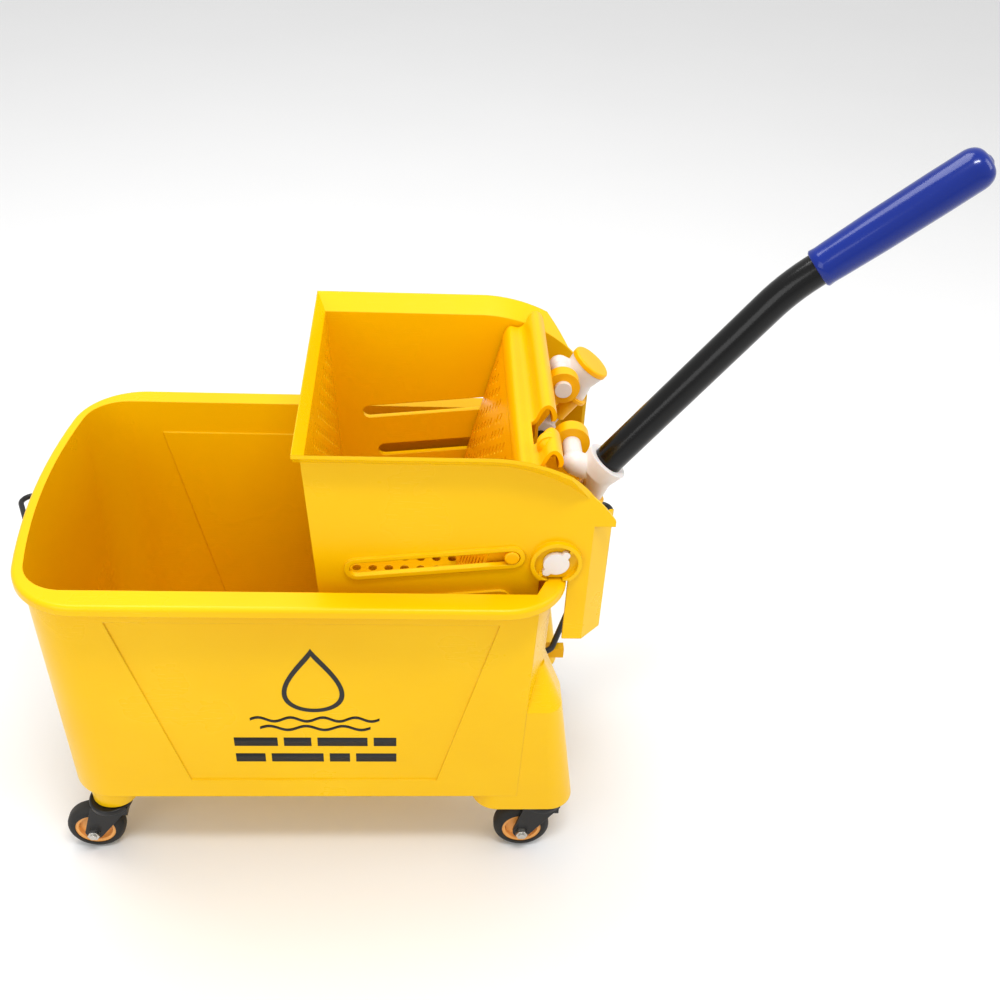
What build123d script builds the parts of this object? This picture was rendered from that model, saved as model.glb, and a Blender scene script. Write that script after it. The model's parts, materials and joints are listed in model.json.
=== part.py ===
"""Mop bucket on four casters with a side-press wringer.

Millimetres.  +Z is up, +X points from the pouring end to the lever end and -Y is the long side
that carries the hand lever.  The parts are drawn with the bucket's middle over X = Y = 0 and
the floor at Z = 0, and are written with the origin under the middle of the whole assembly.
"""
from build123d import *
import math
import os

# ---- bucket -------------------------------------------------------------------------------
rim_length = 460.0          # outer length of the rim along X, over the bowed ends
rim_width = 317.0           # outer width of the rim along Y
rim_height = 351.0          # top of the rim above the floor
rim_bow = 19.4              # how far the rim's front end bows outwards
rim_corner = 62.0           # plan radius of the rim's front corners
rim_rear_bow = 10.0         # the same two sizes for the rear end
rim_rear_corner = 52.0
rim_flange = 18.0           # overhang of the rim beyond the wall
rim_front_flange = 6.0      # the same at the front end
rim_rear_flange = 11.0      # the same at the rear end
rim_skirt = 9.0             # height of the rim's turned-down edge
wall = 3.0                  # wall thickness of the bucket
floor_height = 90.0         # underside of the bucket's floor
front_taper = 3.0          # how far the front wall leans in, rim to floor
rear_taper = 4.0            # the same for the rear wall
side_taper = 15.5           # the same for each long wall
wall_bow = 16.0             # bow of the front wall
rear_wall_bow = 4.0         # bow of the rear wall
wall_corner = 40.0          # plan radius of the wall's front corners
rear_cut = (13.0, 27.0)     # flat cut across each rear corner of the wall, along X and Y
panel_depth = 1.3           # inset of the trapezoid panel in each long wall
panel_top = 318.0           # length of the panel along its top edge
panel_bottom = 222.0        # length of the panel along its bottom edge
panel_shift = 12.0          # middle of the panel from the bucket's middle, along +X
panel_margin = 24.0         # the panel stops this far below the rim and above the floor
flare_top = 249.0           # height where the cones at the rear corners start, inside the wall
flare_shoulder = 208.0      # height where a cone has left the wall
flare_reach = (34.0, 13.0, -5.0)    # cones past the rear wall's top: at the foot, shoulder and top
rear_foot_gap = 15.0         # underside of the rear feet above the wheels' tops
front_foot_gap = 13.0       # the same for the front feet
ledge_width = 26.0          # wringer ledges inside the long walls, across Y
ledge_length = 60.0
ledge_thickness = 6.0

# ---- casters ------------------------------------------------------------------------------
wheel_diameter = 54.0
wheel_width = 18.0
tyre_thickness = 8.0
caster_trail = 18.0         # axle behind the swivel axis
stem_diameter = 10.0
stem_length = 15.0          # stem inside the foot
swivel_gap = 1.0            # foot to fork
axle_diameter = 6.0
fork_plate = 3.0            # thickness of each fork cheek
front_caster_inset = 48.0   # swivel axis from the rim's front end
rear_caster_inset = 5.0     # swivel axis from the rim's rear end
caster_side_inset = 54.5    # swivel axis from the rim's long side
running_gap = 0.05          # radial clearance of a shaft in its bore
side_gap = 0.6              # clearance between faces that turn past each other

# ---- carrying bail ------------------------------------------------------------------------
bail_wire = 6.0
bail_pivot_height = 156.0
bail_reach = 262.0          # pivot axis to the long bar
bail_drop = 2.9             # degrees that the folded bail hangs below level
bail_rear_elbow = 4.0       # rear elbow outside the rim's rear end
bail_front_elbow = 9.0     # front elbow, measured the same way
bail_rear_splay = 96.0      # the bar's rear corner outside the rear elbow
bail_front_splay = 111.0
bail_bend = 13.0            # centre-line radius of the wire's corners
ear_diameter = 22.0

# ---- wringer frame ------------------------------------------------------------------------
wringer_length = 250.0      # front lip to rear edge
wringer_rear_overhang = 29.0    # rear edge beyond the rim's rear end
wringer_side_inset = 41.5   # side plates' outer faces from the rim's long sides
wringer_top = 126.5         # lip above the rim
wringer_depth = 105.0       # bottom below the rim
plate_thickness = 3.0
side_lip_reach = 13.0       # side lip beyond the side plate
side_lip_rise = 12.0
front_lip_reach = 5.0
lip_thickness = 3.5
front_lean = 15.0           # how far the front wall leans inwards over its height
arc_start = 99.0            # the top edge starts to fall this far before the rear edge
arc_drop = 56.0             # the top edge falls this much to the rear edge
rear_chamfer = 17.0
skirt_depth = 67.0          # rear skirt below the rim
skirt_inset = 4.4           # front edge of the side plates' skirts before the rim's rear end
rim_saddle = 2.0            # the side plates' notch clears the rim's top
frame_inset = 28.0          # rear edge of the side plates inside the bucket, from the rim's end
slot_width = 13.4
slot_border = 4.0           # width of the raised border round a slot
slot_relief = 2.2           # height of that border
slot_slope = 6.4            # degrees, rear end higher
upper_slot_run = 124.0      # between the centres of the upper slots' two round ends
lower_slot_run = 101.0      # the same for the lower slots, which stop the plate
boss_diameter = 42.0
boss_recess = 35.0
boss_height = 4.5
drain_hole = 8.0
drain_pitch = 15.0
sieve_slot_width = 3.4
sieve_slot_height = 10.0
sieve_pitch_y = 11.0
sieve_pitch_z = 18.0

# ---- press plate --------------------------------------------------------------------------
press_side_gap = 3.0        # press plate to side plate
press_lean = 13.3           # degrees that its face leans forward at the foot
press_face_thickness = 3.0
press_pin_diameter = 12.4
press_travel = 100.0        # along the slots
hood_rear = -2.3            # hood's rear edge from the shaft, along X
hood_plug_radius = 9.3      # round nose beside the notch for the near lever
link_window = 26.0          # window in the ribs round each link's pin

# ---- lever --------------------------------------------------------------------------------
shaft_diameter = 12.0
shaft_from_rear = 44.7      # shaft axis in front of the wringer's rear edge
shaft_above_rim = 17.6
lever_angle = 53.25         # degrees, the handle's rise to the rear at rest
lever_swing = 75.0          # degrees, from rest to fully pressed
lever_spacing = 75.0        # each lever's middle from the bucket's middle plane
lever_hub_diameter = 30.0
lever_hub_width = 22.0
stem_rod_diameter = 12.0
socket_offset = 10.5        # socket axis in front of the stem rod's axis
socket_base = 50.0          # socket's lower end from the shaft
socket_mouth = 80.0         # socket's open end from the shaft
socket_diameter = 36.0
crank_along = 62.5          # crank pin from the shaft, along the lever
crank_forward = 30.5        # crank pin in front of the lever's axis
crank_pin_diameter = 15.0
crank_pin_end = 33.0        # inner end of each crank pin from the middle plane
handle_diameter = 24.5
handle_wall = 2.0
handle_bend_at = 275.0      # handle's bend from the shaft
handle_bend_radius = 165.0
grip_angle = 39.7           # degrees, the grip's rise to the rear
grip_start = 24.0           # grip from the bend
grip_length = 134.0
grip_diameter = 31.5

# ---- links --------------------------------------------------------------------------------
link_spacing = 43.0         # each link's middle from the middle plane
link_length = 55.8
link_rest_angle = -122.1    # degrees, the link's direction at rest
link_ring_diameter = 30.0
link_width = 12.0
link_eye_diameter = 17.0
link_pin_diameter = 8.0
link_pin_length = 30.0
press_pivot = (-22.3, 28.4)     # the press plate's pivot point from the shaft, X and Z

# ---- places worked out from the sizes above -------------------------------------------------
rim_end = rim_length / 2
rim_side = rim_width / 2
wall_end = rim_end - rim_front_flange
rear_foot_height = wheel_diameter + rear_foot_gap
front_foot_height = wheel_diameter + front_foot_gap
rear_wall_end = rim_end - rim_rear_flange
skirt_front = rim_end - skirt_inset
frame_back = rim_end - frame_inset
wall_side = rim_side - rim_flange
rim_underside = rim_height - rim_skirt
wringer_rear = rim_end + wringer_rear_overhang
wringer_front = wringer_rear - wringer_length
plate_outer = rim_side - wringer_side_inset
plate_inner = plate_outer - plate_thickness
lip_top = rim_height + wringer_top
lip_base = lip_top - side_lip_rise
wringer_bottom = rim_height - wringer_depth
shaft_x = wringer_rear - shaft_from_rear
shaft_z = rim_height + shaft_above_rim
upper_pin = (shaft_x - 35.8, shaft_z + 4.6)
lower_pin = (shaft_x - 44.3, shaft_z - 41.1)
press_side = plate_inner - press_side_gap
wheel_radius = wheel_diameter / 2
fork_half = wheel_width / 2 + side_gap + fork_plate
caster_side = rim_side - caster_side_inset
front_caster_x = -rim_end + front_caster_inset
rear_caster_x = rim_end - rear_caster_inset


def unit(degrees):
    """Direction in the X-Z plane, counted from +X towards +Z."""
    return (math.cos(math.radians(degrees)), math.sin(math.radians(degrees)))


def from_shaft(along, forward=0.0, degrees=lever_angle):
    """X and Z of a point measured along the lever and in front of it."""
    along_dir = unit(degrees)
    forward_dir = unit(degrees + 90)
    x = shaft_x + along * along_dir[0] + forward * forward_dir[0]
    z = shaft_z + along * along_dir[1] + forward * forward_dir[1]
    return (x, z)


def side_plane(y=0.0):
    """Drawing plane whose axes are X and Z."""
    return Plane(origin=(0, y, 0), x_dir=(1, 0, 0), z_dir=(0, -1, 0))


def side_prism(sketch, y_low, y_high):
    """Extrude a sketch drawn in X and Z between two Y values."""
    return extrude(side_plane(y_low) * sketch, amount=y_high - y_low, dir=(0, 1, 0))


def disc_y(x, z, diameter, y_low, y_high):
    """Cylinder along Y."""
    return side_prism(Pos(x, z) * Circle(diameter / 2), y_low, y_high)


def rod(start, end, diameter, end_diameter=None):
    """Round or tapered rod between two points."""
    start_point = Vector(*start)
    axis = Vector(*end) - start_point
    plane = Plane(origin=start_point, z_dir=axis)
    radius = diameter / 2
    if end_diameter is None:
        return plane * Cylinder(radius, axis.length, align=(Align.CENTER, Align.CENTER, Align.MIN))
    cone = Cone(radius, end_diameter / 2, axis.length, align=(Align.CENTER, Align.CENTER, Align.MIN))
    return plane * cone


def bowed_outline(ends, side, bows, radius, z, rear_radius=0, cut=(0, 0)):
    """Plan outline with straight long sides and bowed ends, each pair given as front and rear."""
    front_x = -ends[0] + bows[0]
    rear_x = ends[1] - bows[1]
    near = Line((front_x, -side), (rear_x - cut[0], -side))
    far = Line((rear_x - cut[0], side), (front_x, side))
    rear_arc = ThreePointArc((rear_x, -side + cut[1]), (ends[1], 0), (rear_x, side - cut[1]))
    front_arc = ThreePointArc((front_x, side), (-ends[0], 0), (front_x, -side))
    lines = [near, rear_arc, far, front_arc]
    if cut[0]:
        lines.insert(1, Line(near @ 1, rear_arc @ 0))
        lines.insert(3, Line(rear_arc @ 1, far @ 0))
    face = make_face(lines)
    face = fillet(face.vertices().group_by(Axis.X)[0], radius)
    if rear_radius:
        rear_corners = [v for v in face.vertices() if abs(v.X - rear_x) < 0.01 and abs(v.Y) > side - 0.01]
        face = fillet(rear_corners, rear_radius)
    return Pos(0, 0, z) * face


def rounded_box_section(x_low, x_high, y_low, y_high, radius, z):
    """Rounded rectangle in plan, used as one section of a loft."""
    centre = ((x_low + x_high) / 2, (y_low + y_high) / 2)
    return Pos(centre[0], centre[1], z) * RectangleRounded(x_high - x_low, y_high - y_low, radius)


def lean(z, taper):
    """How far a tapered wall has come in at height z."""
    return taper * (rim_height - z) / (rim_height - floor_height)


def bucket_section(z, inset):
    """Section of the bucket's wall at height z, inset from the outer face."""
    front = wall_end - lean(z, front_taper) - inset
    rear = rear_wall_end - lean(z, rear_taper) - inset
    side = wall_side - lean(z, side_taper) - inset
    return bowed_outline((front, rear), side, (wall_bow, rear_wall_bow), wall_corner - inset, z,
                         cut=rear_cut)


def panel_cutter(depth):
    """Trapezoid prisms that sink the panels into both long walls to a given depth."""
    tilt = math.degrees(math.atan2(side_taper, rim_height - floor_height))
    low = floor_height + panel_margin
    high = rim_underside - panel_margin
    half_top = panel_top / 2
    half_bottom = panel_bottom / 2
    corners = [(-half_bottom, low), (half_bottom, low), (half_top, high), (-half_top, high)]
    outline = Polyline(*corners, close=True)
    middle = (low + high) / 2
    sketch = Pos(panel_shift, -middle) * make_face(outline)
    cutters = []
    for side in (-1, 1):
        face_y = side * (wall_side - lean(middle, side_taper) - depth)
        normal = Vector(0, side, -math.sin(math.radians(tilt)))
        plane = Plane(origin=(0, face_y, middle), x_dir=(-side, 0, 0), z_dir=normal)
        mirrored = sketch if side < 0 else mirror(sketch, Plane.YZ)
        cutters.append(extrude(plane * mirrored, amount=depth + 20))
    return cutters


def rear_flares(inset, bottom):
    """Rounded cones that leave the rear corners below flare_top and widen to the feet."""
    foot = (wall_side - lean(rear_foot_height, side_taper) - 0.3, flare_reach[0], 96, 62, 24)
    shoulder = (wall_side - lean(flare_shoulder, side_taper) - 0.6, flare_reach[1], 64, 52, 16)
    share = (bottom - rear_foot_height) / (flare_shoulder - rear_foot_height)
    lowest = [low + share * (high - low) for low, high in zip(foot, shoulder)]
    top = (wall_side - rear_cut[1] + 3, flare_reach[2], 44, 40, 9)
    rows = ((bottom, *lowest), (flare_shoulder, *shoulder), (flare_top, *top))
    flares = []
    for side in (-1, 1):
        sections = []
        for z, outer, reach, length, width, radius in rows:
            x_high = rear_wall_end + reach - inset
            y_range = sorted((side * (outer - width + inset), side * (outer - inset)))
            sections.append(rounded_box_section(x_high - length + 2 * inset, x_high, *y_range,
                                                radius - inset, z))
        flares.append(loft(sections, ruled=True))
    return flares


def front_feet():
    """Two shallow feet under the front corners."""
    feet = []
    for side in (-1, 1):
        outer = wall_side - side_taper - 3
        top_y = sorted((side * (outer - 54), side * outer))
        low_y = sorted((side * (outer - 46), side * (outer - 3)))
        x_low = -wall_end + front_taper + wall_bow + 4
        top = rounded_box_section(x_low, x_low + 58, *top_y, 26, floor_height + 14)
        low = rounded_box_section(x_low + 2, x_low + 44, *low_y, 20, front_foot_height)
        feet.append(loft([low, top], ruled=True))
    return feet


def wringer_ledges():
    """Four ledges inside the long walls that carry the wringer's bottom edge."""
    ledges = []
    for side in (-1, 1):
        wall_face = wall_side - lean(wringer_bottom, side_taper)
        y = side * (wall_face - panel_depth - 1 - ledge_width / 2)
        for x in (wringer_front + 60, wringer_rear - 110):
            ledge = Box(ledge_length, ledge_width, ledge_thickness)
            ledges.append(Pos(x, y, wringer_bottom - ledge_thickness / 2 - 0.4) * ledge)
    return ledges


def end_wall(side):
    """Distance of an end wall's outer face from the middle, at the bail's height."""
    if side > 0:
        return rear_wall_end - lean(bail_pivot_height, rear_taper)
    return wall_end - lean(bail_pivot_height, front_taper)


def bail_ears():
    """Bosses on the end walls that carry the bail, each with the tab its leg rests on."""
    solids = []
    for side, elbow in ((1, bail_rear_elbow), (-1, bail_front_elbow)):
        wall_face = end_wall(side)
        elbow_x = rim_end + elbow
        root = wall_face - wall / 2
        tip = elbow_x - bail_bend + 1
        solids.append(rod((side * root, 0, bail_pivot_height), (side * tip, 0, bail_pivot_height),
                          ear_diameter))
        tab_length = elbow_x + 15 - root
        top = bail_pivot_height - bail_wire / 2 - 1.6
        tab = Box(tab_length, 9, 12, align=(Align.MIN, Align.MIN, Align.MAX))
        if side > 0:
            solids.append(Pos(root, ear_diameter / 2 - 2, top) * tab)
        else:
            solids.append(Pos(-root - tab_length, ear_diameter / 2 - 2, top) * tab)
    return solids


def bail_bores():
    """Blind bores for the bail's ends."""
    bores = []
    for side, elbow in ((1, bail_rear_elbow), (-1, bail_front_elbow)):
        bottom = end_wall(side) + 1.5
        outer = rim_end + elbow + 5
        bores.append(rod((side * bottom, 0, bail_pivot_height), (side * outer, 0, bail_pivot_height),
                         bail_wire + 2 * running_gap))
    return bores


def bucket_shell():
    """Bucket with its rim, panels, flared rear corners, feet, ledges and bail ears."""
    outer = loft([bucket_section(floor_height, 0), bucket_section(rim_underside + 2, 0)], ruled=True)
    for cutter in panel_cutter(panel_depth):
        outer = outer - cutter
    for flare in rear_flares(0, rear_foot_height):
        outer = outer + flare
    for foot in front_feet():
        outer = outer + foot
    rim_bows = (rim_bow, rim_rear_bow)
    rim_face = bowed_outline((rim_end, rim_end), rim_side, rim_bows, rim_corner, rim_underside,
                             rim_rear_corner)
    rim = extrude(rim_face, amount=rim_skirt)
    rim = fillet(rim.edges().group_by(Axis.Z)[-1], rim_skirt * 0.45)
    under_edge = bowed_outline((rim_end - wall, rim_end - wall), rim_side - wall, rim_bows,
                               rim_corner - wall, rim_underside - 1, rim_rear_corner - wall)
    under = extrude(under_edge, amount=rim_skirt - wall + 1)
    keep = extrude(bucket_section(rim_underside - 1, 0), amount=rim_skirt - wall + 1)
    rim = rim - (under - keep)
    body = outer + rim
    inner_floor = floor_height + wall
    inner = loft([bucket_section(inner_floor, wall), bucket_section(rim_height + 1, wall)], ruled=True)
    for cutter in panel_cutter(panel_depth + wall):
        inner = inner - cutter
    for flare in rear_flares(wall, inner_floor):
        inner = inner + flare
    body = body - inner
    for piece in wringer_ledges() + bail_ears():
        body = body + piece
    for bore in bail_bores():
        body = body - bore
    for x, foot in ((front_caster_x, front_foot_height), (rear_caster_x, rear_foot_height)):
        for side in (-1, 1):
            bore = Cylinder(stem_diameter / 2 + running_gap, stem_length + 2,
                            align=(Align.CENTER, Align.CENTER, Align.MIN))
            body = body - Pos(x, side * caster_side, foot - 1) * bore
    return body


def caster(x, y, foot):
    """The pieces of one caster, trailing towards the front of the bucket."""
    axle_x = x - caster_trail
    axle_z = wheel_radius
    fork_top = foot - swivel_gap
    crown = 5.0
    crown_low = fork_top - crown
    cheek_top = make_face(Polyline((x - 17, crown_low), (x + 17, crown_low), (x + 17, crown_low + 2),
                                   (x - 17, crown_low + 2), close=True))
    lug = Pos(axle_x, axle_z) * Circle(8.5)
    cheek = make_hull(cheek_top.edges() + lug.edges())
    fork = Pos(x, y, crown_low) * Cylinder(20, crown, align=(Align.CENTER, Align.CENTER, Align.MIN))
    fork = fillet(fork.edges().group_by(Axis.Z)[-1], 2)
    for side in (-1, 1):
        faces = sorted((y + side * (fork_half - fork_plate), y + side * fork_half))
        fork = fork + side_prism(cheek, *faces)
    web = Pos(x + 13.5, y, crown_low - 4) * Box(5, 2 * fork_half - 1, 10)
    fork = fork + web
    axle_hole = disc_y(axle_x, axle_z, axle_diameter, y - fork_half - 1, y + fork_half + 1)
    stem_hole = Pos(x, y, 0) * Cylinder(stem_diameter / 2, 200)
    fork = fork - axle_hole - stem_hole
    stem = Pos(x, y, crown_low) * Cylinder(stem_diameter / 2, crown + swivel_gap + stem_length - 1.5,
                                           align=(Align.CENTER, Align.CENTER, Align.MIN))
    stem = chamfer(stem.edges().group_by(Axis.Z)[-1], 1)
    half = wheel_width / 2
    hub_diameter = wheel_diameter - 2 * tyre_thickness
    tyre = disc_y(axle_x, axle_z, wheel_diameter, y - half, y + half)
    tyre = fillet(tyre.edges().filter_by(GeomType.CIRCLE), 3.2)
    tyre = tyre - disc_y(axle_x, axle_z, hub_diameter, y - half, y + half)
    hub = disc_y(axle_x, axle_z, hub_diameter, y - half + 0.8, y + half - 0.8)
    for side in (-1, 1):
        dish = sorted((y + side * (half - 5), y + side * half))
        ring = disc_y(axle_x, axle_z, hub_diameter - 6, *dish) - disc_y(axle_x, axle_z, 13, *dish)
        hub = hub - ring
    bore = axle_diameter + 2 * running_gap
    hub = hub - disc_y(axle_x, axle_z, bore, y - half, y + half)
    bolt = disc_y(axle_x, axle_z, axle_diameter, y - fork_half - 6, y + fork_half)
    head = Pos(axle_x, axle_z) * Circle(5.4)
    bolt = bolt + fillet(side_prism(head, y + fork_half, y + fork_half + 3.4).edges(), 0.8)
    nut_sketch = Pos(axle_x, axle_z) * RegularPolygon(5.8, 6)
    nut = side_prism(nut_sketch, y - fork_half - 4.6, y - fork_half)
    nut = nut - disc_y(axle_x, axle_z, axle_diameter, y - fork_half - 5, y - fork_half)
    return {"fork": fork, "stem": stem, "tyre": tyre, "wheel_hub": hub,
            "axle_bolt": bolt, "axle_nut": nut}


def bail():
    """Wire bail folded down behind the bucket's far side."""
    reach = unit(-bail_drop)
    bar_y = bail_reach * reach[0]
    bar_z = bail_pivot_height + bail_reach * reach[1]
    rear_elbow = rim_end + bail_rear_elbow
    front_elbow = rim_end + bail_front_elbow
    rear_root = end_wall(1) + 2.2
    front_root = end_wall(-1) + 2.2
    points = [(rear_root, 0, bail_pivot_height), (rear_elbow, 0, bail_pivot_height),
              (rear_elbow + bail_rear_splay, bar_y, bar_z),
              (-front_elbow - bail_front_splay, bar_y, bar_z),
              (-front_elbow, 0, bail_pivot_height), (-front_root, 0, bail_pivot_height)]
    path = FilletPolyline(*points, radius=bail_bend)
    section = Plane(origin=points[0], z_dir=(1, 0, 0)) * Circle(bail_wire / 2)
    return sweep(section, path)


def top_edge(drop=0.0, inset=0.0):
    """Corner points of the side plates' top edge: start of the fall, a middle point, its end."""
    start = (wringer_rear - arc_start, lip_base - drop)
    end = (wringer_rear - inset, lip_base - arc_drop - drop)
    middle = (wringer_rear - arc_start * 0.38, lip_base - arc_drop * 0.34 - drop)
    return start, middle, end


def side_profile():
    """Outline of one side plate in X and Z."""
    start, middle, end = top_edge()
    front_top = (wringer_front + front_lip_reach, lip_base)
    front_low = (front_top[0] + front_lean, wringer_bottom)
    seat = rim_height + rim_saddle
    skirt_low = rim_height - skirt_depth
    rear = wringer_rear
    straight = Polyline(end, (rear, skirt_low + 10), (rear - 10, skirt_low),
                        (skirt_front, skirt_low), (skirt_front, seat), (frame_back, seat),
                        (frame_back, wringer_bottom), front_low, front_top, start)
    return make_face([ThreePointArc(start, middle, end), straight])


def slot_sketch(pin, run, width):
    """Slot outline whose rear round end sits on a guide pin."""
    slope = unit(slot_slope)
    centre = (pin[0] - run / 2 * slope[0], pin[1] - run / 2 * slope[1])
    return Pos(*centre) * Rot(0, 0, slot_slope) * SlotCenterToCenter(run, width)


def side_lip_section(plane):
    """Sloping section of the side lip: outwards along the plane's x, upwards along its y."""
    reach = side_lip_reach
    rise = side_lip_rise
    points = [(-plate_thickness, -lip_thickness), (-plate_thickness, 0), (reach, rise),
              (reach, rise - lip_thickness), (0, -lip_thickness)]
    return plane * make_face(Polyline(*points, close=True))


def lip_tail(side):
    """Waste that narrows the side lip in plan until it meets the chamfered rear corner."""
    wide = side * (plate_outer + side_lip_reach + 1)
    narrow = side * (plate_outer - rear_chamfer)
    far = wringer_rear + 60
    outline = Polyline((wringer_rear - 42, wide), (wringer_rear, narrow), (wringer_rear, 0), (far, 0),
                       (far, wide), close=True)
    return Pos(0, 0, rim_height) * extrude(make_face(outline), amount=wringer_top + 10, dir=(0, 0, 1))


def wringer_frame():
    """Side plates, flared lip, front and rear walls, slot borders and shaft bosses."""
    frame = None
    profile = side_profile()
    for side in (-1, 1):
        faces = sorted((side * plate_inner, side * plate_outer))
        plate = side_prism(profile, *faces)
        relief = sorted((side * (plate_outer - 1), side * (plate_outer + slot_relief)))
        for pin, run in ((upper_pin, upper_slot_run), (lower_pin, lower_slot_run)):
            border = slot_sketch(pin, run, slot_width + 2 * slot_border)
            plate = plate + side_prism(border, *relief)
        boss_faces = sorted((side * (plate_inner - 1.5), side * (plate_outer + boss_height)))
        plate = plate + disc_y(shaft_x, shaft_z, boss_diameter, *boss_faces)
        start, middle, end = top_edge()
        front = (wringer_front - 1, lip_base)
        path_points = [(front[0], side * plate_outer, front[1])]
        line = Line((front[0], side * plate_outer, front[1]), (start[0], side * plate_outer, start[1]))
        arc = ThreePointArc(*[(p[0], side * plate_outer, p[1]) for p in (start, middle, end)])
        plane = Plane(origin=path_points[0], x_dir=(0, side, 0), z_dir=(side, 0, 0))
        lip = sweep(side_lip_section(plane), Wire([line, arc]), transition=Transition.RIGHT)
        plate = plate + (lip - lip_tail(side))
        chamfer_low = rim_height - skirt_depth
        chamfer_high = end[1]
        corner = Polyline((wringer_rear - rear_chamfer, side * plate_outer),
                          (wringer_rear, side * (plate_outer - rear_chamfer)),
                          (wringer_rear - plate_thickness, side * (plate_outer - rear_chamfer)),
                          (wringer_rear - rear_chamfer - plate_thickness, side * plate_inner), close=True)
        strip = extrude(Pos(0, 0, chamfer_low) * make_face(corner), amount=chamfer_high - chamfer_low,
                        dir=(0, 0, 1))
        waste_corner = Polyline((wringer_rear - rear_chamfer, side * (plate_outer + 0.01)),
                                (wringer_rear + 0.01, side * (plate_outer - rear_chamfer)),
                                (wringer_rear + 30, side * (plate_outer - rear_chamfer)),
                                (wringer_rear + 30, side * (plate_outer + 0.01)), close=True)
        waste = extrude(Pos(0, 0, chamfer_low - 1) * make_face(waste_corner),
                        amount=chamfer_high - chamfer_low - 4, dir=(0, 0, 1))
        plate = (plate - waste) + strip
        frame = plate if frame is None else frame + plate
    return frame


def finish_frame(frame):
    """Front and rear walls, then the openings through the side plates."""
    front_top = wringer_front + front_lip_reach
    wall_profile = Polyline((front_top, lip_base), (front_top + front_lean, wringer_bottom),
                            (front_top + front_lean + plate_thickness, wringer_bottom),
                            (front_top + plate_thickness, lip_base), close=True)
    frame = frame + side_prism(make_face(wall_profile), -plate_outer, plate_outer)
    lip_profile = Polyline((front_top + plate_thickness, lip_base), (wringer_front, lip_top),
                           (wringer_front, lip_top - lip_thickness), (front_top, lip_base - lip_thickness),
                           (front_top + plate_thickness, lip_base - lip_thickness), close=True)
    lip_side = plate_outer + side_lip_reach
    front_lip = side_prism(make_face(lip_profile), -lip_side, lip_side)
    beyond = Box(20, 3 * lip_side, 60, align=(Align.MAX, Align.CENTER, Align.CENTER))
    frame = frame - Pos(wringer_front, 0, lip_top) * beyond
    for side in (-1, 1):
        under = Polyline((side * (plate_outer + 0.01), lip_base - lip_thickness),
                         (side * (lip_side + 1), lip_base - lip_thickness - 1),
                         (side * (lip_side + 1), lip_top - lip_thickness),
                         (side * lip_side, lip_top - lip_thickness), close=True)
        corner = Plane(origin=(wringer_front - 1, 0, 0), x_dir=(0, 1, 0), z_dir=(1, 0, 0))
        front_lip = front_lip - extrude(corner * make_face(under), amount=30)
    frame = frame + front_lip
    rear_low = rim_height - skirt_depth
    rear_wall = Box(plate_thickness, 2 * (plate_outer - rear_chamfer), skirt_depth - 10,
                    align=(Align.MAX, Align.CENTER, Align.MIN))
    frame = frame + Pos(wringer_rear, 0, rear_low) * rear_wall
    over_rim = Box(skirt_front - frame_back, 3 * plate_outer, 40, align=(Align.MIN, Align.CENTER, Align.MAX))
    frame = frame - Pos(frame_back, 0, rim_height + rim_saddle / 2) * over_rim
    for side in (-1, 1):
        through = sorted((side * (plate_inner - 5), side * (plate_outer + 10)))
        for pin, run in ((upper_pin, upper_slot_run), (lower_pin, lower_slot_run)):
            frame = frame - side_prism(slot_sketch(pin, run, slot_width), *through)
        bore = shaft_diameter + 2 * running_gap
        frame = frame - disc_y(shaft_x, shaft_z, bore, *through)
        recess = sorted((side * plate_outer, side * (plate_outer + 10)))
        frame = frame - disc_y(shaft_x, shaft_z, boss_recess, *recess)
        for turn in (45, 225):
            direction = unit(turn)
            lug_x = shaft_x + direction[0] * (boss_recess / 2 - 1)
            lug_z = shaft_z + direction[1] * (boss_recess / 2 - 1)
            lug_faces = sorted((side * plate_outer, side * (plate_outer + 3.4)))
            frame = frame + disc_y(lug_x, lug_z, 3.6, *lug_faces)
    return frame


def sieve_slots(height_low, height_high, half_width):
    """Staggered upright slots, drawn in local x (across) and y (up)."""
    rows = int((height_high - height_low) / sieve_pitch_z)
    columns = int(half_width / sieve_pitch_y)
    places = []
    for row in range(rows):
        for column in range(-columns, columns + 1):
            stagger = sieve_pitch_z / 2 if column % 2 else 0
            y = height_low + row * sieve_pitch_z + stagger + sieve_slot_height / 2
            if y + sieve_slot_height / 2 < height_high:
                places.append((column * sieve_pitch_y, y))
    hole = Rot(0, 0, 90) * SlotOverall(sieve_slot_height, sieve_slot_width)
    return [Pos(x, y) * hole for x, y in places]


def cut_front_sieve(frame):
    """Drain slots through the wringer's front wall."""
    holes = Sketch() + sieve_slots(wringer_bottom + 16, lip_base - 14, plate_inner - 14)
    plane = Plane(origin=(wringer_front - 2, 0, 0), x_dir=(0, 1, 0), z_dir=(1, 0, 0))
    return frame - extrude(plane * holes, amount=front_lean + front_lip_reach + 12)


def drain_grid():
    """Perforated bottom of the wringer, between the side plates."""
    front = wringer_front + front_lip_reach + front_lean + plate_thickness
    rear = frame_back
    length = rear - front
    width = 2 * plate_inner
    plate = Box(length, width, plate_thickness, align=(Align.MIN, Align.CENTER, Align.MIN))
    grid = Pos(front, 0, wringer_bottom) * plate
    across = int((width - 2 * drain_pitch) / drain_pitch / 2)
    along = int((length - drain_pitch) / drain_pitch)
    places = []
    for row in range(along):
        for column in range(-across, across + 1):
            places.append((front + drain_pitch * (row + 0.9), column * drain_pitch))
    holes = Sketch() + [Pos(x, y) * Circle(drain_hole / 2) for x, y in places]
    cutter = extrude(Pos(0, 0, wringer_bottom - 1) * holes, amount=plate_thickness + 2)
    return grid - cutter


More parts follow.
